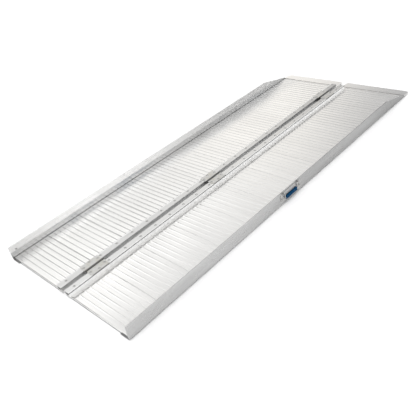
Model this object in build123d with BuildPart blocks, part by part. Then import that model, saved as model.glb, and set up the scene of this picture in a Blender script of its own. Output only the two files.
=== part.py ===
"""Folding portable wheelchair ramp, opened flat.

Two aluminium panels lie side by side, joined along the middle by three butt hinges.
X runs across the ramp, Y along it from the bottom edge to the top lip, and Z is up.
The origin is on the floor, under the middle of the ramp. All sizes are in millimetres.
Every sub-part of a panel is made for one side: +1 is the right panel, -1 the left one.
"""

from build123d import *
import os

# Overall sizes
WIDTH = 700.0                   # across both outer rails, without the handles
LENGTH = 1830.0                 # bottom edge to the far edge of the top lip
RAIL_LENGTH = 1778.0
CENTRE_GAP = 20.0               # clear space between the two inner rails
Y0 = -LENGTH / 2                # bottom end of the rails
HALF = WIDTH / 2
SIDES = {"left": -1, "right": 1}

# Outer rail: an upright kerb on a flange that carries the planks
KERB_HEIGHT = 58.0
KERB_WALL = 4.0
KERB_FLANGE = 45.0
FLANGE_WALL = 3.0
KERB_FOOT_RADIUS = 8.0
KERB_NOSE_RADIUS = 8.0          # rounded top corner at the bottom end of the ramp
KERB_EDGE_RADIUS = 1.2
TAPER_LENGTH = 184.0            # run over which the kerb comes down at the top end
TAPER_END_HEIGHT = 13.0
TAPER_BEND_RADIUS = 40.0

# Inner rail: a channel round the planks' inner ends, with a second web standing on the deck
INNER_HEIGHT = 26.0
INNER_TOP_FLANGE = 29.0
INNER_BOTTOM_FLANGE = 25.0
INNER_WALL = 3.0
INNER_OVERHANG = 2.5            # of the top flange past the web on the deck
DECK_WEB = 2.5
INNER_FOOT_RADIUS = 4.0
INNER_TOP_RADIUS = 1.5
INNER_SETBACK = 2.0             # from the bottom end of the outer rail
INNER_TOP_SETBACK = 19.0        # from its top end
INNER_X = CENTRE_GAP / 2

# Deck planks, laid across each panel
DECK_SETBACK = 4.0
PLANK_PITCH = 152.0
FULL_PLANKS = 11
LAST_PLANK = 98.0
PLANK_JOINT = 0.4
PLANK_Z = FLANGE_WALL
DECK_Z = 9.0                    # top of the plank skin
SKIN = 2.4
RIDGES_PER_PLANK = 7            # tread ridges share the plank pitch evenly
RIDGE_PITCH = PLANK_PITCH / RIDGES_PER_PLANK
RIDGE_BASE = 4.6
FIRST_RIDGE = 3.4               # centre of the first ridge past the plank's near edge
RIDGE_HEIGHT = 1.8
RIDGE_SLOPE = 55.0
EDGE_CHAMFER = 0.3
LEG_WALL = 3.0
LEGS_PER_PLANK = 4
PLANK_INNER_X = INNER_X + INNER_WALL + 0.5
RIDGE_INNER_X = INNER_X + INNER_TOP_FLANGE - INNER_OVERHANG + 0.5   # milled flat under the rail
PLANK_OUTER_X = HALF - KERB_WALL - 1.8

# Fasteners
RIVET_SHANK = 2.4
RIVET_HEAD = 4.2
RIVET_RISE = 1.5
RIVET_CROWN = 1.3               # radius of the head's domed edge
MANDREL_RADIUS = 1.7
MANDREL_DEPTH = 1.6
FLAT_HEAD_RISE = 0.8
HOLE_PLAY = 0.1
RIVET_TIP_Z = DECK_Z - SKIN / 2  # where rivets driven from below end, inside the skin
PLANK_RIVETS = (31.0, 107.0)    # along each plank from its lower edge
SHORT_PLANK_RIVETS = (31.0, 71.0)
RIVET_ROW_X = INNER_X + INNER_TOP_FLANGE / 2
FLANGE_ROW_X = HALF - 24.0
KERB_RIVET_Y = 26.0
KERB_RIVET_Z = 37.0

# Top lip and rubber strips
LIP_REACH = LENGTH - RAIL_LENGTH
LIP_WALL = 3.0
LIP_EDGE_RADIUS = 1.3
LIP_DROP = 1.0
LIP_INNER_X = 14.0
LIP_OUTER_CORNER = 20.0
LIP_INNER_CORNER = 8.0
LIP_TAB = 60.0
LIP_GAP = 1.0
LIP_RIVETS = (75.0, 173.0, 271.0)        # distances from the middle of the ramp
LIP_RIVET_Y = Y0 + RAIL_LENGTH - 41.0
PAD_DEPTH = 16.0
PAD_THICKNESS = 2.0
FOOT_STRIP_DEPTH = 30.0
STRIP_GAP = 1.0

# Hinges
HINGE_CENTRES = (140.0, 770.0, 1622.0)   # along the ramp from its bottom end
HINGE_LENGTH = 78.0
KNUCKLES = 5
KNUCKLE_GAP = 0.4
KNUCKLE_RADIUS = 3.5
PIN_RADIUS = 1.6
PIN_PLAY = 0.04
PIN_HEAD = 1.2                  # length of the pin's head
LEAF_WALL = 2.0
LEAF_REACH = 38.0
LEAF_CORNER = 4.0
LEAF_RIVET_X = (20.0, 31.0, 20.0)
LEAF_RIVET_PITCH = 31.0
AXIS_Z = INNER_HEIGHT + LEAF_WALL + 0.5

# Carry handles on the outer faces
HANDLE_Y = Y0 + 826.0
PLATE_LENGTH = 126.0
PLATE_BOTTOM = 15.0
PLATE_TOP = 52.5
PLATE_WALL = 1.2
PLATE_CORNER = 6.0
LUG_WALL = 4.0
LUG_Y = 47.0
LUG_REACH = 7.6
LUG_HALF_HEIGHT = 3.4
PIVOT_Z = 48.0
PIVOT_X = HALF + 4.6
BAIL_RADIUS = 1.8
BAIL_DROP = 22.0
BAIL_HALF_SPAN = 40.0
BAIL_STUB = 10.0
BAIL_BEND = 4.5
PIVOT_PLAY = 0.08
GRIP_LENGTH = 70.0
GRIP_HEIGHT = 15.0
GRIP_THICKNESS = 6.0
GRIP_EDGE_RADIUS = 2.4
GRIP_END_RADIUS = 1.6
GRIP_WAIST = 0.8                # how far the finger grooves cut in
GRIP_GROOVES = 4
SCREW_Y = 55.5
SCREW_Z = 30.0
SCREW_HEAD = 4.5
SCREW_RISE = 2.0
SCREW_SHANK = 2.0

PARTS = "parts"
os.makedirs(PARTS, exist_ok=True)


def save(part, name):
    """Label a finished piece and write its STEP file."""
    part.label = name
    export_step(part, f"{PARTS}/{name}.step")


def low_x(side, near, far):
    """Lower X of a slab that reaches from near to far on the given side."""
    return min(side * near, side * far)


def rivet(length):
    """Blind rivet: domed head on top of Z = 0 with the mandrel's hole in it, shank below."""
    with BuildPart() as piece:
        Cylinder(RIVET_HEAD, RIVET_RISE, align=(Align.CENTER, Align.CENTER, Align.MIN))
        fillet(piece.edges().group_by(Axis.Z)[-1], RIVET_CROWN)
        Cylinder(RIVET_SHANK, length, align=(Align.CENTER, Align.CENTER, Align.MAX))
        with Locations((0, 0, RIVET_RISE)):
            Cylinder(MANDREL_RADIUS, MANDREL_DEPTH, align=(Align.CENTER, Align.CENTER, Align.MAX),
                     mode=Mode.SUBTRACT)
    return piece.part


def flush_rivet(length):
    """Rivet driven from below: flat head under Z = 0, shank above it."""
    with BuildPart() as piece:
        Cylinder(RIVET_HEAD, FLAT_HEAD_RISE, align=(Align.CENTER, Align.CENTER, Align.MAX))
        Cylinder(RIVET_SHANK, length, align=(Align.CENTER, Align.CENTER, Align.MIN))
    return piece.part


def plank_spans():
    """Start and length of every plank from the bottom end up."""
    first = Y0 + DECK_SETBACK
    spans = [(first + i * PLANK_PITCH, PLANK_PITCH) for i in range(FULL_PLANKS)]
    spans.append((first + FULL_PLANKS * PLANK_PITCH, LAST_PLANK))
    return spans


def plank_rivet_ys(start, width):
    """Rivet positions along one plank."""
    offsets = PLANK_RIVETS if width == PLANK_PITCH else SHORT_PLANK_RIVETS
    return [start + offset for offset in offsets]


def under_hinge(y):
    """True where a hinge leaf covers the inner rail."""
    reach = HINGE_LENGTH / 2 + RIVET_HEAD + 1.0
    return any(abs(y - (Y0 + centre)) < reach for centre in HINGE_CENTRES)


def inner_row_ys():
    """Rivets through the top flange of an inner rail."""
    ys = [y for start, width in plank_spans() for y in plank_rivet_ys(start, width)]
    return [y for y in ys if not under_hinge(y)]


def flange_row_ys():
    """Rivets that hold the planks down on the outer rail's flange."""
    return [y for start, width in plank_spans() for y in plank_rivet_ys(start, width)]


def leaf_rivet_points():
    """Rivets of the hinge leaves on one side, as distances from the middle and Y."""
    points = []
    for centre in HINGE_CENTRES:
        for step, x in zip((-1, 0, 1), LEAF_RIVET_X):
            points.append((x, Y0 + centre + step * LEAF_RIVET_PITCH))
    return points


def outer_rail(side):
    """Kerb with a rounded nose, a taper at the top end and a flange under the planks."""
    y_end = Y0 + RAIL_LENGTH
    outline = [
        (HALF, 0),
        (HALF, KERB_HEIGHT),
        (HALF - KERB_WALL, KERB_HEIGHT),
        (HALF - KERB_WALL, FLANGE_WALL),
        (HALF - KERB_FLANGE, FLANGE_WALL),
        (HALF - KERB_FLANGE, 0),
    ]
    with BuildPart() as rail:
        with BuildSketch(Plane.XZ.offset(-Y0)) as section:
            with BuildLine():
                Polyline(*[(side * x, z) for x, z in outline], close=True)
            make_face()
            fillet(section.vertices().group_by(Axis.Y)[-1], KERB_EDGE_RADIUS)
            fillet(section.vertices().sort_by_distance((side * HALF, 0))[0], KERB_FOOT_RADIUS)
        extrude(amount=-RAIL_LENGTH)
        with BuildSketch(Plane.YZ.offset(-HALF)) as side_view:
            with BuildLine():
                Polyline(
                    (Y0, 0),
                    (y_end, 0),
                    (y_end, TAPER_END_HEIGHT),
                    (y_end - TAPER_LENGTH, KERB_HEIGHT),
                    (Y0, KERB_HEIGHT),
                    close=True,
                )
            make_face()
            nose = side_view.vertices().sort_by_distance((Y0, KERB_HEIGHT))[0]
            fillet(nose, KERB_NOSE_RADIUS)
            bend = side_view.vertices().sort_by_distance((y_end - TAPER_LENGTH, KERB_HEIGHT))[0]
            fillet(bend, TAPER_BEND_RADIUS)
        extrude(amount=WIDTH, mode=Mode.INTERSECT)
        flush_row = [(side * FLANGE_ROW_X, y, 0) for y in flange_row_ys()]
        with Locations(*flush_row):
            Cylinder(RIVET_SHANK + HOLE_PLAY, 3 * FLANGE_WALL, mode=Mode.SUBTRACT)
            Cylinder(RIVET_HEAD + HOLE_PLAY, 2 * FLAT_HEAD_RISE, mode=Mode.SUBTRACT)
        cross_holes = [(side * HALF, Y0 + KERB_RIVET_Y, KERB_RIVET_Z)]
        cross_holes += [(side * HALF, HANDLE_Y + end * SCREW_Y, SCREW_Z) for end in (-1, 1)]
        with Locations(*cross_holes):
            Cylinder(RIVET_SHANK + HOLE_PLAY, 3 * KERB_WALL, rotation=(0, 90, 0),
                     mode=Mode.SUBTRACT)
    return rail.part


def inner_rail(side):
    """Rail beside the middle gap; its top flange carries the hinge leaves."""
    length = RAIL_LENGTH - INNER_SETBACK - INNER_TOP_SETBACK
    far_top = INNER_X + INNER_TOP_FLANGE
    far_bottom = INNER_X + INNER_BOTTOM_FLANGE
    web = INNER_X + INNER_WALL
    under_top = INNER_HEIGHT - INNER_WALL
    deck_web = far_top - INNER_OVERHANG
    outline = [
        (INNER_X, 0),
        (far_bottom, 0),
        (far_bottom, INNER_WALL),
        (web, INNER_WALL),
        (web, under_top),
        (deck_web - DECK_WEB, under_top),
        (deck_web - DECK_WEB, DECK_Z),
        (deck_web, DECK_Z),
        (deck_web, under_top),
        (far_top, under_top),
        (far_top, INNER_HEIGHT),
        (INNER_X, INNER_HEIGHT),
    ]
    with BuildPart() as rail:
        with BuildSketch(Plane.XZ.offset(-(Y0 + INNER_SETBACK))) as section:
            with BuildLine():
                Polyline(*[(side * x, z) for x, z in outline], close=True)
            make_face()
            fillet(section.vertices().sort_by_distance((side * INNER_X, 0))[0], INNER_FOOT_RADIUS)
            top = section.vertices().sort_by_distance((side * INNER_X, INNER_HEIGHT))[0]
            fillet(top, INNER_TOP_RADIUS)
        extrude(amount=-length)
        row = [(side * RIVET_ROW_X, y, INNER_HEIGHT / 2) for y in inner_row_ys()]
        with Locations(*row):
            Cylinder(RIVET_SHANK + HOLE_PLAY, 2 * INNER_HEIGHT, mode=Mode.SUBTRACT)
        leaf_holes = [(side * x, y, INNER_HEIGHT) for x, y in leaf_rivet_points()]
        with Locations(*leaf_holes):
            Cylinder(RIVET_SHANK + HOLE_PLAY, 3 * INNER_WALL, mode=Mode.SUBTRACT)
    return rail.part


def plank(side, start, width):
    """One extruded deck plank: ridged skin on legs, with chamfered joint edges."""
    body = width - PLANK_JOINT
    middle = start + width / 2
    leg_height = DECK_Z - SKIN - PLANK_Z
    ridge_count = round(width / RIDGE_PITCH)
    ridge_ys = [start + FIRST_RIDGE + i * RIDGE_PITCH for i in range(ridge_count)]
    leg_ys = [middle - body / 2 + LEG_WALL / 2 + i * (body - LEG_WALL) / (LEGS_PER_PLANK - 1)
              for i in range(LEGS_PER_PLANK)]
    with BuildPart() as piece:
        with BuildSketch(Plane.YZ.offset(low_x(side, PLANK_INNER_X, PLANK_OUTER_X))) as section:
            with Locations((middle, DECK_Z - SKIN / 2)):
                Rectangle(body, SKIN)
            chamfer(section.vertices().group_by(Axis.Y)[-1], EDGE_CHAMFER)
            with Locations(*[(y, PLANK_Z + leg_height / 2) for y in leg_ys]):
                Rectangle(LEG_WALL, leg_height)
        extrude(amount=PLANK_OUTER_X - PLANK_INNER_X)
        with BuildSketch(Plane.YZ.offset(low_x(side, RIDGE_INNER_X, PLANK_OUTER_X))):
            with Locations(*[(y, DECK_Z + RIDGE_HEIGHT / 2) for y in ridge_ys]):
                Trapezoid(RIDGE_BASE, RIDGE_HEIGHT, RIDGE_SLOPE)
        extrude(amount=PLANK_OUTER_X - RIDGE_INNER_X)
        blind = [(side * FLANGE_ROW_X, y, PLANK_Z) for y in plank_rivet_ys(start, width)]
        if width == LAST_PLANK:
            blind += [(side * x, LIP_RIVET_Y, PLANK_Z) for x in LIP_RIVETS]
        with Locations(*blind):
            Cylinder(RIVET_SHANK + HOLE_PLAY, 2 * (RIVET_TIP_Z - PLANK_Z), mode=Mode.SUBTRACT)
        through = [y for y in plank_rivet_ys(start, width) if not under_hinge(y)]
        with Locations(*[(side * RIVET_ROW_X, y, DECK_Z) for y in through]):
            Cylinder(RIVET_SHANK + HOLE_PLAY, 4 * DECK_Z, mode=Mode.SUBTRACT)
    return piece.part


def lip_slope(y):
    """Top height of the lip at Y, from flush with the deck down to its far edge."""
    run = y - (Y0 + RAIL_LENGTH + LIP_GAP)
    return DECK_Z - LIP_DROP * run / (LIP_REACH - LIP_GAP)


def top_lip(side):
    """Bent plate: a full-width lip beyond the rails and a tab under the last plank."""
    start = Y0 + RAIL_LENGTH + LIP_GAP
    end = Y0 + LENGTH
    tab_end = start - LIP_TAB
    inner_tab = INNER_X + INNER_BOTTOM_FLANGE + STRIP_GAP
    outer_tab = HALF - KERB_FLANGE - STRIP_GAP
    with BuildPart() as lip:
        with BuildSketch(Plane.YZ.offset(low_x(side, LIP_INNER_X, HALF))) as section:
            with BuildLine():
                Polyline(
                    (start, 0),
                    (start + LIP_WALL, 0),
                    (start + LIP_WALL, lip_slope(start + LIP_WALL) - LIP_WALL),
                    (end, lip_slope(end) - LIP_WALL),
                    (end, lip_slope(end)),
                    (start, lip_slope(start)),
                    close=True,
                )
            make_face()
            fillet(section.vertices().group_by(Axis.X)[-1], LIP_EDGE_RADIUS)
        extrude(amount=HALF - LIP_INNER_X)
        with BuildSketch(Plane.XY) as plan:
            with Locations((side * (LIP_INNER_X + HALF) / 2, (start + end) / 2)):
                Rectangle(HALF - LIP_INNER_X, end - start)
            outer = plan.vertices().sort_by_distance((side * HALF, end))[0]
            fillet(outer, LIP_OUTER_CORNER)
            inner = plan.vertices().sort_by_distance((side * LIP_INNER_X, end))[0]
            fillet(inner, LIP_INNER_CORNER)
        extrude(amount=2 * DECK_Z, mode=Mode.INTERSECT)
        with BuildSketch(Plane.XY):
            with Locations((side * (inner_tab + outer_tab) / 2, (tab_end + start) / 2)):
                Rectangle(outer_tab - inner_tab, LIP_TAB)
        extrude(amount=LIP_WALL)
        with Locations(*[(side * x, LIP_RIVET_Y, 0) for x in LIP_RIVETS]):
            Cylinder(RIVET_SHANK + HOLE_PLAY, 3 * LIP_WALL, mode=Mode.SUBTRACT)
            Cylinder(RIVET_HEAD + HOLE_PLAY, 2 * FLAT_HEAD_RISE, mode=Mode.SUBTRACT)
    return lip.part


def lip_pad(side):
    """Rubber strip bonded under the far edge of the lip."""
    far = Y0 + LENGTH - 3.0
    near = far - PAD_DEPTH
    inner_x = LIP_INNER_X + LIP_INNER_CORNER
    outer_x = HALF - LIP_OUTER_CORNER
    with BuildPart() as pad:
        with BuildSketch(Plane.YZ.offset(low_x(side, inner_x, outer_x))):
            with BuildLine():
                Polyline(
                    (near, lip_slope(near) - LIP_WALL),
                    (far, lip_slope(far) - LIP_WALL),
                    (far, lip_slope(far) - LIP_WALL - PAD_THICKNESS),
                    (near, lip_slope(near) - LIP_WALL - PAD_THICKNESS),
                    close=True,
                )
            make_face()
        extrude(amount=outer_x - inner_x)
    return pad.part


def foot_strip(side):
    """Rubber strip under the bottom edge of the first plank."""
    near_x = INNER_X + INNER_BOTTOM_FLANGE + STRIP_GAP
    far_x = HALF - KERB_FLANGE - STRIP_GAP
    start = Y0 + DECK_SETBACK
    with BuildPart() as strip:
        with BuildSketch(Plane.XY):
            with Locations((side * (near_x + far_x) / 2, start + FOOT_STRIP_DEPTH / 2)):
                Rectangle(far_x - near_x, FOOT_STRIP_DEPTH)
        extrude(amount=PLANK_Z)
        chamfer(strip.edges().filter_by(Axis.X).group_by(Axis.Z)[0], 0.8)
    return strip.part


def knuckle_span(index):
    """Start and length of one knuckle, measured from the lower end of the hinge."""
    pitch = HINGE_LENGTH / KNUCKLES
    return index * pitch + KNUCKLE_GAP / 2, pitch - KNUCKLE_GAP


def hinge_leaf(side, centre):
    """Leaf plate with its knuckles: the left leaf has three, the right leaf two."""
    first = 0 if side < 0 else 1
    plate_x = KNUCKLE_RADIUS + 0.6
    bottom = Y0 + centre - HINGE_LENGTH / 2
    with BuildPart() as leaf:
        with BuildSketch(Plane.XY.offset(INNER_HEIGHT)) as outline:
            with Locations((side * (plate_x + LEAF_REACH) / 2, Y0 + centre)):
                Rectangle(LEAF_REACH - plate_x, HINGE_LENGTH - KNUCKLE_GAP)
            fillet(outline.vertices().group_by(Axis.X)[-1 if side > 0 else 0], LEAF_CORNER)
            for index in range(first, KNUCKLES, 2):
                start, length = knuckle_span(index)
                with Locations((side * plate_x / 2, bottom + start + length / 2)):
                    Rectangle(plate_x + 0.2, length)
        extrude(amount=LEAF_WALL)
        for index in range(first, KNUCKLES, 2):
            start, length = knuckle_span(index)
            with BuildSketch(Plane.XZ.offset(-(bottom + start))):
                with Locations((0, AXIS_Z)):
                    Circle(KNUCKLE_RADIUS)
            extrude(amount=-length)
        with Locations((0, Y0 + centre, AXIS_Z)):
            Cylinder(PIN_RADIUS + PIN_PLAY, 2 * HINGE_LENGTH, rotation=(90, 0, 0),
                     mode=Mode.SUBTRACT)
        holes = [(side * x, Y0 + centre + step * LEAF_RIVET_PITCH, INNER_HEIGHT)
                 for step, x in zip((-1, 0, 1), LEAF_RIVET_X)]
        with Locations(*holes):
            Cylinder(RIVET_SHANK + HOLE_PLAY, 4 * LEAF_WALL, mode=Mode.SUBTRACT)
    return leaf.part


def hinge_pins():
    """Three identical pins, each with a small head at both ends."""
    with BuildPart() as pins:
        for centre in HINGE_CENTRES:
            with Locations((0, Y0 + centre, AXIS_Z)):
                Cylinder(PIN_RADIUS, HINGE_LENGTH + 0.8, rotation=(90, 0, 0))
            for end in (-1, 1):
                y = Y0 + centre + end * (HINGE_LENGTH / 2 + 0.2 + PIN_HEAD / 2)
                with Locations((0, y, AXIS_Z)):
                    Cylinder(PIN_RADIUS + 1.0, PIN_HEAD, rotation=(90, 0, 0))
    return pins.part


def handle_plate(side):
    """Screwed plate with two lugs that hold the ends of the bail."""
    height = PLATE_TOP - PLATE_BOTTOM
    with BuildPart() as plate:
        with BuildSketch(Plane.YZ.offset(low_x(side, HALF, HALF + PLATE_WALL))):
            with Locations((HANDLE_Y, (PLATE_TOP + PLATE_BOTTOM) / 2)):
                RectangleRounded(PLATE_LENGTH, height, PLATE_CORNER)
        extrude(amount=PLATE_WALL)
        for end in (-1, 1):
            y = HANDLE_Y + end * LUG_Y
            with BuildSketch(Plane.XZ.offset(-(y - LUG_WALL / 2))):
                with BuildLine():
                    root = side * (HALF + PLATE_WALL / 2)
                    tip = side * (HALF + LUG_REACH - LUG_HALF_HEIGHT)
                    top = PIVOT_Z + LUG_HALF_HEIGHT
                    under = PIVOT_Z - LUG_HALF_HEIGHT
                    Line((root, under), (tip, under))
                    ThreePointArc((tip, under), (side * (HALF + LUG_REACH), PIVOT_Z), (tip, top))
                    Line((tip, top), (root, top))
                    Line((root, top), (root, under))
                make_face()
            extrude(amount=-LUG_WALL)
        with Locations((side * PIVOT_X, HANDLE_Y, PIVOT_Z)):
            Cylinder(BAIL_RADIUS + PIVOT_PLAY, 2 * LUG_Y + 2 * LUG_WALL, rotation=(90, 0, 0),
                     mode=Mode.SUBTRACT)
        screws = [(side * HALF, HANDLE_Y + end * SCREW_Y, SCREW_Z) for end in (-1, 1)]
        with Locations(*screws):
            Cylinder(SCREW_SHANK + HOLE_PLAY, 4 * PLATE_WALL, rotation=(0, 90, 0),
                     mode=Mode.SUBTRACT)
    return plate.part


def handle_bail(side):
    """Steel bail that hangs flat from the lugs."""
    span = BAIL_HALF_SPAN
    grip_z = PIVOT_Z - BAIL_DROP
    route = [
        (-span - BAIL_STUB, PIVOT_Z),
        (-span, PIVOT_Z),
        (-span, grip_z),
        (span, grip_z),
        (span, PIVOT_Z),
        (span + BAIL_STUB, PIVOT_Z),
    ]
    with BuildPart() as bail:
        with BuildLine() as path:
            FilletPolyline(*[(side * PIVOT_X, HANDLE_Y + y, z) for y, z in route],
                           radius=BAIL_BEND)
        with BuildSketch(Plane(origin=path.line @ 0, z_dir=path.line % 0)):
            Circle(BAIL_RADIUS)
        sweep()
    return bail.part


def handle_grip(side):
    """Moulded blue grip around the bail's cross bar, with shallow finger grooves."""
    grip_z = PIVOT_Z - BAIL_DROP
    start = HANDLE_Y - GRIP_LENGTH / 2
    groove_pitch = GRIP_LENGTH / (GRIP_GROOVES + 1)
    with BuildPart() as grip:
        with BuildSketch(Plane.XZ.offset(-start)):
            with Locations((side * PIVOT_X, grip_z)):
                RectangleRounded(GRIP_THICKNESS, GRIP_HEIGHT, GRIP_EDGE_RADIUS)
        extrude(amount=-GRIP_LENGTH)
        fillet(grip.faces().filter_by(Axis.Y).edges(), GRIP_END_RADIUS)
        with Locations((side * PIVOT_X, HANDLE_Y, grip_z)):
            Cylinder(BAIL_RADIUS, 2 * GRIP_LENGTH, rotation=(90, 0, 0), mode=Mode.SUBTRACT)
        for index in range(GRIP_GROOVES):
            y = start + (index + 1) * groove_pitch
            x = side * (PIVOT_X + GRIP_THICKNESS / 2 + 4.0 - GRIP_WAIST)
            with Locations((x, y, grip_z)):
                Cylinder(4.0, 2 * GRIP_HEIGHT, mode=Mode.SUBTRACT)
    return grip.part


def placed(piece, spots, rotation=(0, 0, 0)):
    """Copies of one fastener at every spot, as separate solids of one node."""
    with BuildPart() as group:
        for spot in spots:
            with Locations(Location(spot, rotation)):
                add(piece)
    return group.part


def handle_screw():
    """Pan-head screw with a hexagon socket, head above Z = 0."""
    with BuildPart() as screw:
        Cylinder(SCREW_HEAD, SCREW_RISE, align=(Align.CENTER, Align.CENTER, Align.MIN))
        fillet(screw.edges().group_by(Axis.Z)[-1], 1.0)
        Cylinder(SCREW_SHANK, PLATE_WALL + KERB_WALL,
                 align=(Align.CENTER, Align.CENTER, Align.MAX))
        with BuildSketch(Plane.XY.offset(SCREW_RISE)):
            RegularPolygon(1.8, 6)
        extrude(amount=-1.2, mode=Mode.SUBTRACT)
    return screw.part


def build_panel(name, side):
    """All pieces of one panel, except the hinge pins."""
    save(outer_rail(side), f"{name}_outer_rail")
    save(inner_rail(side), f"{name}_inner_rail")
    for index, (start, width) in enumerate(plank_spans()):
        save(plank(side, start, width), f"{name}_plank_{index + 1:02d}")
    save(top_lip(side), f"{name}_top_lip")
    save(lip_pad(side), f"{name}_lip_pad")
    save(foot_strip(side), f"{name}_foot_strip")

    row = [(side * RIVET_ROW_X, y, INNER_HEIGHT) for y in inner_row_ys()]
    save(placed(rivet(INNER_HEIGHT - 0.5), row), f"{name}_inner_rail_rivets")

    flush = flush_rivet(RIVET_TIP_Z - FLAT_HEAD_RISE - 0.1)
    row = [(side * FLANGE_ROW_X, y, FLAT_HEAD_RISE) for y in flange_row_ys()]
    save(placed(flush, row), f"{name}_flange_rivets")
    row = [(side * x, LIP_RIVET_Y, FLAT_HEAD_RISE) for x in LIP_RIVETS]
    save(placed(flush, row), f"{name}_lip_rivets")

    kerb_spot = [(side * (HALF - KERB_WALL), Y0 + KERB_RIVET_Y, KERB_RIVET_Z)]
    inwards = (0, -90 * side, 0)
    save(placed(rivet(KERB_WALL), kerb_spot, inwards), f"{name}_kerb_rivet")

    for index, centre in enumerate(HINGE_CENTRES):
        save(hinge_leaf(side, centre), f"{name}_hinge_leaf_{index + 1}")
    leaf_spots = [(side * x, y, INNER_HEIGHT + LEAF_WALL) for x, y in leaf_rivet_points()]
    save(placed(rivet(LEAF_WALL + INNER_WALL), leaf_spots), f"{name}_hinge_rivets")

    save(handle_plate(side), f"{name}_handle_plate")
    save(handle_bail(side), f"{name}_handle_bail")
    save(handle_grip(side), f"{name}_handle_grip")
    spots = [(side * (HALF + PLATE_WALL), HANDLE_Y + end * SCREW_Y, SCREW_Z) for end in (-1, 1)]
    outwards = (0, 90 * side, 0)
    save(placed(handle_screw(), spots, outwards), f"{name}_handle_screws")


for panel, direction in SIDES.items():
    build_panel(panel, direction)
save(hinge_pins(), "hinge_pins")
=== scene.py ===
import math

import bmesh
import bpy
from mathutils import Euler, Matrix, Vector


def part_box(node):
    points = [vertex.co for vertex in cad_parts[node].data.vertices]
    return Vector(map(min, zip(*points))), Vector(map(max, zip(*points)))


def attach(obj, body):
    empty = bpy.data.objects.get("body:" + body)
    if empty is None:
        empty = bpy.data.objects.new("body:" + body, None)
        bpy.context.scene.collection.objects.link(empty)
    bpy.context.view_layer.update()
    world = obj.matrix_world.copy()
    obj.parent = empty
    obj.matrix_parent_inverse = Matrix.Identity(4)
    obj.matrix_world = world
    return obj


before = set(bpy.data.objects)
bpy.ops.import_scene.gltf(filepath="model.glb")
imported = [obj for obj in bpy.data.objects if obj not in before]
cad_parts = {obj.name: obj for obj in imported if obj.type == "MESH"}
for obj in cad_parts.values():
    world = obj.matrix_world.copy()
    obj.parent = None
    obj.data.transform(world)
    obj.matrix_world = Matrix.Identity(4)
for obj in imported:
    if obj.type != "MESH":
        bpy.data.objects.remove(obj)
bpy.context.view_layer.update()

MM = 0.001

# Layout as in the CAD
RAMP_START = -915 * MM
PLANK_PITCH = 152 * MM
RIDGE_PITCH = PLANK_PITCH / 7
FIRST_RIDGE = 3.4 * MM
RIDGE_TOP_HALF = 1.0 * MM
RIDGE_FOOT_HALF = 2.3 * MM
DECK_TOP = 9 * MM
KERB_INNER_X = 346 * MM
KERB_OUTER_X = 350 * MM
BARREL_HALF = 4.2 * MM          # half width of a hinge's barrel

# Zones of the rails where the finish, painted shade or painted reflection changes: where the
# change starts and where it is complete
KERB_SHADE_BAND_Z = (33 * MM, 41 * MM)
KERB_FOOT_SHADE_Z = (DECK_TOP + 0.6 * MM, DECK_TOP + 3.2 * MM)
RAIL_GAP_SHADE_X = (10.3 * MM, 11.5 * MM)
RAIL_WEB_X = (35.5 * MM, 36 * MM)
RAIL_EDGE_SHADOW_X = (37.6 * MM, 38.2 * MM)
BARREL_SHADE_X = (BARREL_HALF - 0.3 * MM, BARREL_HALF + 0.8 * MM)

# The broken mandrel in a rivet's hollow head
MANDREL_RADIUS = 1.6 * MM
MANDREL_SUNK = 0.5 * MM         # its top below the rivet's crown
MANDREL_LENGTH = 1.0 * MM
MANDREL_TAPER = 0.8             # top radius over foot radius
MANDREL_SIDES = 20
MANDREL_RIM = MANDREL_RADIUS * 0.35
MANDREL_HOLLOW = 0.25 * MM
RIVET_APART = 6 * MM            # vertices closer than this belong to one rivet

FLOOR_REACH = 40.0
FLOOR_LEVEL = -0.4 * MM         # just below the rubber feet, so that no faces lie in one plane

# Camera: place and turn in the CAD frame, and the lens of a 36 mm sensor.
CAMERA_PLACE = (1.3468, -1.3677, 1.1227)
CAMERA_TURN = (55.03, 10.11, 42.26)
CAMERA_LENS = 44.09


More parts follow.
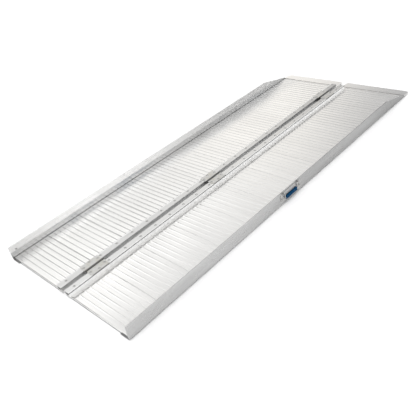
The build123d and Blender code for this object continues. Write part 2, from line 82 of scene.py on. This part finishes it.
class Shader:
    """A Principled material and the few node patterns that the materials share."""

    def __init__(self, name, metallic=0.0, specular=0.5):
        self.material = bpy.data.materials.new(name)
        self.material.use_nodes = True
        self.tree = self.material.node_tree
        self.bsdf = self.tree.nodes["Principled BSDF"]
        self.bsdf.inputs["Metallic"].default_value = metallic
        self.bsdf.inputs["Specular IOR Level"].default_value = specular
        self.place = self.tree.nodes.new("ShaderNodeTexCoord").outputs["Object"]
        self.finish = None
        self.bumped = None

    def node(self, kind, **settings):
        made = self.tree.nodes.new(kind)
        for key, value in settings.items():
            setattr(made, key, value)
        return made

    def link(self, source, target):
        self.tree.links.new(source, target)

    def feed(self, socket, value):
        if isinstance(value, bpy.types.NodeSocket):
            self.link(value, socket)
        else:
            socket.default_value = value

    def math(self, operation, a, b=0.0, c=0.0):
        made = self.node("ShaderNodeMath", operation=operation)
        for socket, value in zip(made.inputs, (a, b, c)):
            self.feed(socket, value)
        return made.outputs[0]

    def stretched(self, per_metre):
        """The object's coordinates, multiplied along each axis."""
        made = self.node("ShaderNodeVectorMath", operation="MULTIPLY")
        self.link(self.place, made.inputs[0])
        made.inputs[1].default_value = per_metre
        return made.outputs[0]

    def noise(self, per_metre, detail=3.0, rough=0.55):
        """Noise from 0 to 1, with so many features per metre along X, Y and Z."""
        made = self.node("ShaderNodeTexNoise")
        made.inputs["Scale"].default_value = 1.0
        made.inputs["Detail"].default_value = detail
        made.inputs["Roughness"].default_value = rough
        self.link(self.stretched(per_metre), made.inputs["Vector"])
        return made.outputs["Fac"]

    def cells(self, per_metre):
        """A random grey for each cell of a Voronoi pattern."""
        made = self.node("ShaderNodeTexVoronoi")
        made.inputs["Scale"].default_value = 1.0
        self.link(self.stretched(per_metre), made.inputs["Vector"])
        grey = self.node("ShaderNodeSeparateColor")
        self.link(made.outputs["Color"], grey.inputs[0])
        return grey.outputs[0]

    def spread(self, value, low, high, to_low=0.0, to_high=1.0):
        """value mapped smoothly from low..high to to_low..to_high."""
        made = self.node("ShaderNodeMapRange", interpolation_type="SMOOTHSTEP")
        self.link(value, made.inputs["Value"])
        for key, number in zip(("From Min", "From Max", "To Min", "To Max"),
                               (low, high, to_low, to_high)):
            made.inputs[key].default_value = number
        return made.outputs["Result"]

    def blend(self, amount, a, b, kind="MIX"):
        made = self.node("ShaderNodeMix", data_type="RGBA", blend_type=kind)
        self.feed(made.inputs["Factor"], amount)
        for key, value in (("A", a), ("B", b)):
            is_socket = isinstance(value, bpy.types.NodeSocket)
            self.feed(made.inputs[key], value if is_socket else (*value, 1.0))
        return made.outputs["Result"]

    def axis(self, name):
        split = self.node("ShaderNodeSeparateXYZ")
        self.link(self.place, split.inputs[0])
        return split.outputs[name]

    def across(self):
        """Distance from the ramp's middle line."""
        return self.math("ABSOLUTE", self.axis("X"))

    def random(self, value):
        """A random number for each whole number."""
        made = self.node("ShaderNodeTexWhiteNoise", noise_dimensions="1D")
        self.link(self.math("FLOOR", value), made.inputs["W"])
        return made.outputs["Value"]

    def scaled(self, colour, factor):
        """colour multiplied by a grey factor."""
        grey = self.node("ShaderNodeCombineColor")
        for socket in grey.inputs:
            self.feed(socket, factor)
        return self.blend(1.0, colour, grey.outputs[0], "MULTIPLY")

    def toned(self, colour, share, change):
        """colour multiplied by 1 + share * change."""
        return self.scaled(colour, self.math("MULTIPLY_ADD", share, change, 1.0))

    def colour(self, value):
        self.feed(self.bsdf.inputs["Base Color"], value)

    def roughness(self, value):
        self.finish = value
        self.feed(self.bsdf.inputs["Roughness"], value)

    def bump(self, height, depth, strength=1.0):
        """Adds a bump of that depth in metres on top of the bumps before it."""
        made = self.node("ShaderNodeBump")
        made.inputs["Distance"].default_value = depth
        made.inputs["Strength"].default_value = strength
        self.link(height, made.inputs["Height"])
        if self.bumped is not None:
            self.link(self.bumped, made.inputs["Normal"])
        self.bumped = made.outputs["Normal"]
        self.link(self.bumped, self.bsdf.inputs["Normal"])


def axis_scale(along, on_axis, across):
    """Features per metre: few along the named axis, many across it."""
    return tuple(on_axis if name == along else across for name in "XYZ")


def mill_aluminium(name, along, tone, rough):
    """Extruded aluminium: die lines along one axis, faint clouds, small dents.

    Returns the shader and its colour, which the caller tones and sets.
    """
    shader = Shader(name, metallic=1.0)
    lines = shader.noise(axis_scale(along, 1.5, 420), detail=2)
    bands = shader.noise(axis_scale(along, 0.6, 55), detail=2)
    clouds = shader.noise((7, 7, 7), detail=4)
    light = tuple(min(c * 1.015, 1.0) for c in tone)
    dark = tuple(c * 0.965 for c in tone)
    colour = shader.blend(shader.spread(bands, 0.3, 0.7), dark, light)
    colour = shader.blend(shader.spread(clouds, 0.38, 0.7, 0.0, 0.4), colour, tone)
    finish = shader.math("MULTIPLY_ADD", lines, 0.10, rough - 0.12)
    shader.roughness(shader.math("MULTIPLY_ADD", clouds, 0.14, finish))
    shader.bump(lines, 0.02 * MM, 0.3)
    shader.bump(shader.noise((30, 30, 30), detail=2), 0.12 * MM, 0.15)
    return shader, colour


def deck_metal():
    """Plank extrusion: each plank a little different, painted shade at the ridges' feet, wheel
    tracks, polished ridges, and a duller strip beside the left kerb's far half."""
    shader, colour = mill_aluminium("deck_aluminium", "X", (0.895, 0.89, 0.88), 0.24)
    along = shader.math("SUBTRACT", shader.axis("Y"), RAMP_START)
    plank_number = shader.math("DIVIDE", along, PLANK_PITCH)
    side = shader.math("MULTIPLY", shader.math("SIGN", shader.axis("X")), 37.0)
    plank_tone = shader.random(shader.math("ADD", shader.math("FLOOR", plank_number), side))
    colour = shader.scaled(colour, shader.math("MULTIPLY_ADD", plank_tone, 0.035, 0.965))

    from_ridge = shader.math("SUBTRACT", along, FIRST_RIDGE)
    off_ridge = shader.math("WRAP", from_ridge, RIDGE_PITCH / 2, -RIDGE_PITCH / 2)
    off_ridge = shader.math("ABSOLUTE", off_ridge)
    # Painted shade: darker along the feet of the ridges, in patches.
    patchy = shader.noise((9, 60, 9), detail=4)
    inside = shader.spread(off_ridge, RIDGE_TOP_HALF, RIDGE_TOP_HALF * 1.4)
    outside = shader.spread(off_ridge, RIDGE_FOOT_HALF, RIDGE_FOOT_HALF * 1.5, 1.0, 0.0)
    ridge_foot_shade = shader.math("MULTIPLY", inside, outside)
    ridge_foot_shade = shader.math("MULTIPLY", ridge_foot_shade, shader.spread(patchy, 0.2, 0.7, 0.5, 1.0))
    colour = shader.toned(colour, ridge_foot_shade, -0.07)

    tracks = shader.noise((45, 5, 45), detail=5, rough=0.65)
    scuffs = shader.noise((14, 150, 14), detail=5, rough=0.7)
    wear = shader.spread(tracks, 0.58, 0.75)
    wear = shader.math("MULTIPLY", wear, shader.spread(scuffs, 0.35, 0.65))
    shader.colour(shader.toned(colour, wear, -0.07))
    shader.bump(scuffs, 0.03 * MM, 0.2)

    polish = shader.spread(off_ridge, RIDGE_FOOT_HALF, RIDGE_FOOT_HALF * 1.2, -0.13, 0.0)
    grit = shader.spread(shader.axis("X"), -0.30, -0.22, 0.16, 0.0)
    grit = shader.math("MULTIPLY", grit, shader.spread(shader.axis("Y"), 0.0, 0.35))
    shader.roughness(shader.math("ADD", shader.math("ADD", shader.finish, polish), grit))
    return shader.material


def rail_metal():
    """Kerb rail: bright inside with a lower band of painted shade, darker grey outside as painted
    shade.

    Both sides lose some brightness towards the top end: painted reflection.
    """
    shader, colour = mill_aluminium("outer_rail_aluminium", "Y", (0.86, 0.86, 0.855), 0.27)
    height = shader.axis("Z")
    along = shader.axis("Y")
    wall = (KERB_INNER_X + KERB_OUTER_X) / 2
    outer = shader.spread(shader.across(), wall - 0.4 * MM, wall + 0.4 * MM)

    # Painted shade: a darker lower band on the inside with a ragged top, patchy bluish painted
    # shade in it, and a line of painted shade at its foot along the deck.
    ragged = shader.noise((3, 9, 90), detail=4)
    edge = shader.math("MULTIPLY_ADD", ragged, 9 * MM, height)
    band = shader.spread(edge, *KERB_SHADE_BAND_Z, 1.0, 0.0)
    patches = shader.noise((3.2, 4.5, 28), detail=4, rough=0.6)
    band_shade_patches = shader.math("MULTIPLY", band, shader.spread(patches, 0.42, 0.62))
    band_shade_patches = shader.math("MULTIPLY", band_shade_patches, shader.spread(along, -0.4, 0.1, 1.0, 0.35))
    foot_shade = shader.spread(height, *KERB_FOOT_SHADE_Z, 1.0, 0.0)
    inside = shader.toned(colour, band, shader.spread(along, 0.05, 0.55, -0.31, -0.17))
    band_shaded = shader.blend(1.0, inside, (0.76, 0.785, 0.82), "MULTIPLY")
    inside = shader.blend(band_shade_patches, inside, band_shaded)
    inside = shader.toned(inside, foot_shade, -0.5)
    # Painted reflection: the inside darker at the near end, brighter from the middle, darker again
    # towards the top end.
    inside = shader.scaled(inside, shader.spread(along, -0.95, -0.5, 0.84, 1.16))
    inside = shader.scaled(inside, shader.spread(along, -0.4, 0.5, 1.0, 0.73))

    # Painted shade: the outer face darker grey than the inside, and darker again towards the top
    # end.
    weathered = shader.noise((12, 2.2, 40), detail=4)
    outside = shader.scaled(colour, shader.spread(weathered, 0.3, 0.7, 0.54, 0.61))
    outside = shader.scaled(outside, shader.spread(along, -0.4, 0.05, 1.06, 0.83))
    outside = shader.scaled(outside, shader.spread(along, 0.4, 0.9, 1.0, 0.72))
    shader.colour(shader.blend(outer, inside, outside))
    return shader.material


def inner_rail_metal():
    """Middle rail: handled flange, painted shade in the gap, the web on the deck side painted
    near-white and matt as a painted reflection, and a painted shadow line along the flange's deck
    edge. The left rail is a little darker than the right."""
    shader, colour = mill_aluminium("inner_rail_aluminium", "Y", (0.73, 0.73, 0.725), 0.30)
    marks = shader.noise((60, 14, 60), detail=5, rough=0.65)
    colour = shader.scaled(colour, shader.spread(marks, 0.55, 0.75, 1.0, 0.9))
    colour = shader.scaled(colour, shader.spread(shader.axis("Y"), 0.0, 0.7, 1.0, 0.83))
    colour = shader.scaled(colour, shader.spread(shader.axis("X"), -MM, MM, 0.95, 1.03))
    across = shader.across()
    # Painted light: shade on the gap side, a near-white matt web standing in for the web's bright
    # reflection, and a painted shadow line along the flange's deck edge.
    gap_shade = shader.spread(across, *RAIL_GAP_SHADE_X, 1.0, 0.0)
    on_web = shader.spread(across, *RAIL_WEB_X)
    edge_shadow = shader.spread(across, *RAIL_EDGE_SHADOW_X)
    colour = shader.toned(colour, gap_shade, -0.12)
    colour = shader.blend(on_web, colour, (0.98, 0.98, 0.975))
    shader.colour(shader.toned(colour, edge_shadow, -0.85))
    shader.feed(shader.bsdf.inputs["Metallic"], shader.math("MULTIPLY_ADD", on_web, -1.0, 1.0))
    return shader.material


def lip_metal():
    """Lip plate: near the deck's tone, with fine rolling lines and rubbed spots."""
    shader, colour = mill_aluminium("lip_aluminium", "X", (0.86, 0.855, 0.845), 0.28)
    rubs = shader.noise((22, 60, 22), detail=5, rough=0.65)
    shader.colour(shader.scaled(colour, shader.spread(rubs, 0.55, 0.75, 1.0, 0.93)))
    shader.bump(rubs, 0.04 * MM, 0.2)
    return shader.material


def rivet_metal():
    """Aluminium rivet heads: dull, mottled and finely pitted."""
    shader = Shader("rivet_aluminium", metallic=1.0)
    marks = shader.noise((500, 500, 500), detail=3)
    shader.colour(shader.blend(marks, (0.46, 0.46, 0.455), (0.60, 0.60, 0.59)))
    shader.roughness(shader.spread(marks, 0.3, 0.7, 0.25, 0.45))
    shader.bump(marks, 0.05 * MM, 0.4)
    return shader.material


def plated_steel(name, tone, rough, barrel=False):
    """Zinc-plated steel: fine spangle, faint stains, scratches, and painted shade on a hinge's
    barrel.
    """
    shader = Shader(name, metallic=1.0)
    spangle = shader.cells((420, 420, 420))
    stain = shader.noise((60, 60, 60), detail=4)
    scratch = shader.noise((90, 1400, 900), detail=2)
    stained = tuple(c * k for c, k in zip(tone, (0.95, 0.93, 0.88)))
    colour = shader.blend(shader.spread(stain, 0.42, 0.66), tone, stained)
    colour = shader.toned(colour, spangle, -0.10)
    if barrel:
        # Painted shade: the hinge's barrel darkened.
        barrel_shade = shader.spread(shader.across(), *BARREL_SHADE_X, 1.0, 0.0)
        colour = shader.toned(colour, barrel_shade, -0.75)
    shader.colour(colour)
    shader.roughness(shader.math("MULTIPLY_ADD", spangle, 0.12, rough))
    shader.bump(scratch, 0.03 * MM, 0.4)
    shader.bump(stain, 0.12 * MM, 0.25)
    return shader.material


def mandrel_steel():
    """The broken end of a rivet's mandrel: rough steel, made near-black so that it is also painted
    shade in the rivet's hollow head.
    """
    shader = Shader("mandrel_steel", metallic=1.0)
    grain = shader.noise((1800, 1800, 1800), detail=3)
    # Partly painted shade: the near-black tone stands in for the shade inside the hollow rivet
    # head.
    shader.colour(shader.blend(grain, (0.04, 0.04, 0.042), (0.10, 0.097, 0.093)))
    shader.roughness(shader.spread(grain, 0.3, 0.7, 0.45, 0.65))
    shader.bump(grain, 0.08 * MM, 0.6)
    return shader.material


def blue_grip():
    """Moulded blue plastic with a fine spark-eroded grain and paler rubbed spots."""
    shader = Shader("blue_grip_plastic", specular=0.05)
    grain = shader.noise((2600, 2600, 2600), detail=2)
    worn = shader.noise((90, 140, 90), detail=4)
    rubbed = shader.spread(worn, 0.45, 0.75, 0.0, 0.6)
    shader.colour(shader.blend(rubbed, (0.0, 0.036, 0.098), (0.0, 0.052, 0.135)))
    shader.roughness(shader.spread(worn, 0.3, 0.7, 0.38, 0.55))
    shader.bump(grain, 0.04 * MM, 0.6)
    return shader.material


def rubber():
    """Black rubber with a fine grain and pale dust."""
    shader = Shader("black_rubber", specular=0.35)
    grain = shader.noise((1500, 1500, 1500), detail=3)
    dust = shader.noise((40, 40, 40), detail=5)
    dusty = shader.spread(dust, 0.45, 0.75)
    shader.colour(shader.blend(dusty, (0.018, 0.018, 0.019), (0.06, 0.058, 0.055)))
    shader.roughness(shader.spread(dust, 0.3, 0.7, 0.62, 0.85))
    shader.bump(grain, 0.06 * MM, 0.5)
    return shader.material


def dress_frame():
    """Gives every CAD node the better material of its slot."""
    looks = {
        "deck_plank": deck_metal(),
        "outer_rail": rail_metal(),
        "inner_rail": inner_rail_metal(),
        "lip_plate": lip_metal(),
        "rivet": rivet_metal(),
        "hinge_steel": plated_steel("hinge_zinc", (0.67, 0.67, 0.66), 0.30, barrel=True),
        "handle_plate": plated_steel("handle_plate_zinc", (0.50, 0.50, 0.50), 0.36),
        "handle_bail": plated_steel("bail_zinc", (0.50, 0.50, 0.50), 0.34),
        "screw_steel": plated_steel("screw_zinc", (0.44, 0.44, 0.435), 0.34),
        "grip_blue": blue_grip(),
        "rubber_strip": rubber(),
    }
    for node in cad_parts.values():
        for place in node.material_slots:
            place.material = looks[place.material.name.split(".")[0]]


def rivet_spots(node, across):
    """Middle of each rivet of a node, seen along the axis that isn't in across."""
    groups = []
    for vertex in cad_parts[node].data.vertices:
        for group in groups:
            if all(abs(group[0][k] - vertex.co[k]) < RIVET_APART for k in across):
                group.append(vertex.co)
                break
        else:
            groups.append([vertex.co])
    return [Vector([(min(v[k] for v in group) + max(v[k] for v in group)) / 2 for k in range(3)])
            for group in groups]


def make_mandrels(side_name, side, material):
    """Stubs of the broken mandrels, one in the hollow head of each rivet of a panel."""
    panel = f"{side_name}_panel"
    shape = bmesh.new()
    rows = [("inner_rail_rivets", (0, 1), Vector((0, 0, 1))),
            ("hinge_rivets", (0, 1), Vector((0, 0, 1))),
            ("kerb_rivet", (1, 2), Vector((-side, 0, 0)))]
    for row, across, out in rows:
        node = f"{side_name}_{row}"
        low, high = (Vector(corner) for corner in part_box(node))
        crown = max(low.dot(out), high.dot(out))
        turn = out.to_track_quat("Z", "Y").to_matrix().to_4x4()
        for spot in rivet_spots(node, across):
            top = spot + out * (crown - MANDREL_SUNK - spot.dot(out))
            place = Matrix.Translation(top - out * MANDREL_LENGTH / 2) @ turn
            stub = bmesh.ops.create_cone(shape, cap_ends=True, segments=MANDREL_SIDES,
                                         radius1=MANDREL_RADIUS,
                                         radius2=MANDREL_RADIUS * MANDREL_TAPER,
                                         depth=MANDREL_LENGTH, matrix=place)
            end = [face for face in {f for v in stub["verts"] for f in v.link_faces}
                   if face.normal.dot(out) > 0.9]
            bmesh.ops.inset_region(shape, faces=end, thickness=MANDREL_RIM,
                                   depth=-MANDREL_HOLLOW)
    mesh = bpy.data.meshes.new(f"{panel}_mandrels")
    shape.to_mesh(mesh)
    shape.free()
    piece = bpy.data.objects.new(f"{panel}_mandrels", mesh)
    bpy.context.scene.collection.objects.link(piece)
    mesh.materials.append(material)
    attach(piece, panel)


def make_floor():
    """A wide pale paper floor."""
    mesh = bpy.data.meshes.new("floor")
    corners = [(x * FLOOR_REACH, y * FLOOR_REACH, FLOOR_LEVEL)
               for x, y in ((-1, -1), (1, -1), (1, 1), (-1, 1))]
    mesh.from_pydata(corners, [], [(0, 1, 2, 3)])
    floor = bpy.data.objects.new("floor", mesh)
    bpy.context.scene.collection.objects.link(floor)
    shader = Shader("floor_paper", specular=0.0)
    shader.colour((0.93, 0.93, 0.93, 1.0))
    shader.roughness(1.0)
    mesh.materials.append(shader.material)


def make_light():
    """A soft studio of broad, softly edged areas: a bank of light brighter higher up, a grey
    area on the right, a dark panel and a bright strip low in front, a window low on the
    right, and a bright ceiling that keeps the floor white. Later areas cover earlier ones."""
    world = bpy.data.worlds.new("studio")
    world.use_nodes = True
    bpy.context.scene.world = world
    tree = world.node_tree
    way = tree.nodes.new("ShaderNodeTexCoord").outputs["Generated"]

    def part(direction, low, high):
        """0 to 1 as the direction turns from low to high along a unit vector."""
        dot = tree.nodes.new("ShaderNodeVectorMath")
        dot.operation = "DOT_PRODUCT"
        tree.links.new(way, dot.inputs[0])
        dot.inputs[1].default_value = Vector(direction).normalized()
        step = tree.nodes.new("ShaderNodeMapRange")
        step.interpolation_type = "SMOOTHSTEP"
        tree.links.new(dot.outputs["Value"], step.inputs["Value"])
        step.inputs["From Min"].default_value = low
        step.inputs["From Max"].default_value = high
        return step.outputs["Result"]

    def mix(amount, a, b):
        made = tree.nodes.new("ShaderNodeMix")
        made.data_type = "RGBA"
        tree.links.new(amount, made.inputs["Factor"])
        for socket, value in ((made.inputs["A"], a), (made.inputs["B"], b)):
            if isinstance(value, bpy.types.NodeSocket):
                tree.links.new(value, socket)
            else:
                socket.default_value = (*value, 1.0)
        return made.outputs["Result"]

    def both(a, b):
        made = tree.nodes.new("ShaderNodeMath")
        made.operation = "MULTIPLY"
        tree.links.new(a, made.inputs[0])
        tree.links.new(b, made.inputs[1])
        return made.outputs[0]

    bank = (0.93, 0.93, 0.92)
    high_bank = (1.48, 1.48, 1.47)
    warm = (1.13, 1.10, 1.05)
    grey = (0.64, 0.64, 0.64)
    dim = (0.45, 0.45, 0.46)
    dark = (0.10, 0.10, 0.105)
    bright = (1.3, 1.3, 1.3)
    window = (1.3, 1.3, 1.3)
    ceiling = (2.4, 2.4, 2.4)

    raised = part((0.25, 0, 1), 0.33, 0.42)
    far_left = part((-0.57, 0.82, 0), 0.83, 0.88)
    right = part((1, 0, 1), -0.05, 0.06)
    far_right = part((1.4, 1, 0), 0.02, 0.22)
    front = both(part((-0.174, -0.985, 0), -0.04, 0.06), part((-0.731, 0.682, 0), -0.01, 0.03))
    low_front = both(front, part((0, 0, -1), -0.45, -0.18))
    strip = both(part((0.714, -0.659, -0.236), -0.005, 0.02), part((-1, 0, 0), -0.3, -0.1))
    low_strip = both(strip, part((0, 0, -1), -0.58, -0.40))
    window_area = both(part((1, 0, 0), 0.53, 0.78), part((0, 1, 0), -0.3, -0.05))
    overhead = part((0.2, -0.3, 1), 0.75, 0.9)

    sky = mix(raised, bank, high_bank)
    for area, light in ((far_left, warm), (right, grey), (far_right, dim), (low_front, dark),
                        (low_strip, bright), (window_area, window), (overhead, ceiling)):
        sky = mix(area, sky, light)
    background = tree.nodes["Background"]
    tree.links.new(sky, background.inputs["Color"])
    background.inputs["Strength"].default_value = 1.0


def make_camera():
    """The camera, at the product view's angle."""
    data = bpy.data.cameras.new("camera")
    data.sensor_width = 36.0
    data.lens = CAMERA_LENS
    camera = bpy.data.objects.new("camera", data)
    camera.location = CAMERA_PLACE
    camera.rotation_euler = Euler([math.radians(angle) for angle in CAMERA_TURN], "XYZ")
    bpy.context.scene.collection.objects.link(camera)
    bpy.context.scene.camera = camera


bpy.context.scene.view_settings.view_transform = "Standard"
dress_frame()
mandrel_look = mandrel_steel()
make_mandrels("left", -1, mandrel_look)
make_mandrels("right", 1, mandrel_look)
make_floor()
make_light()
make_camera()
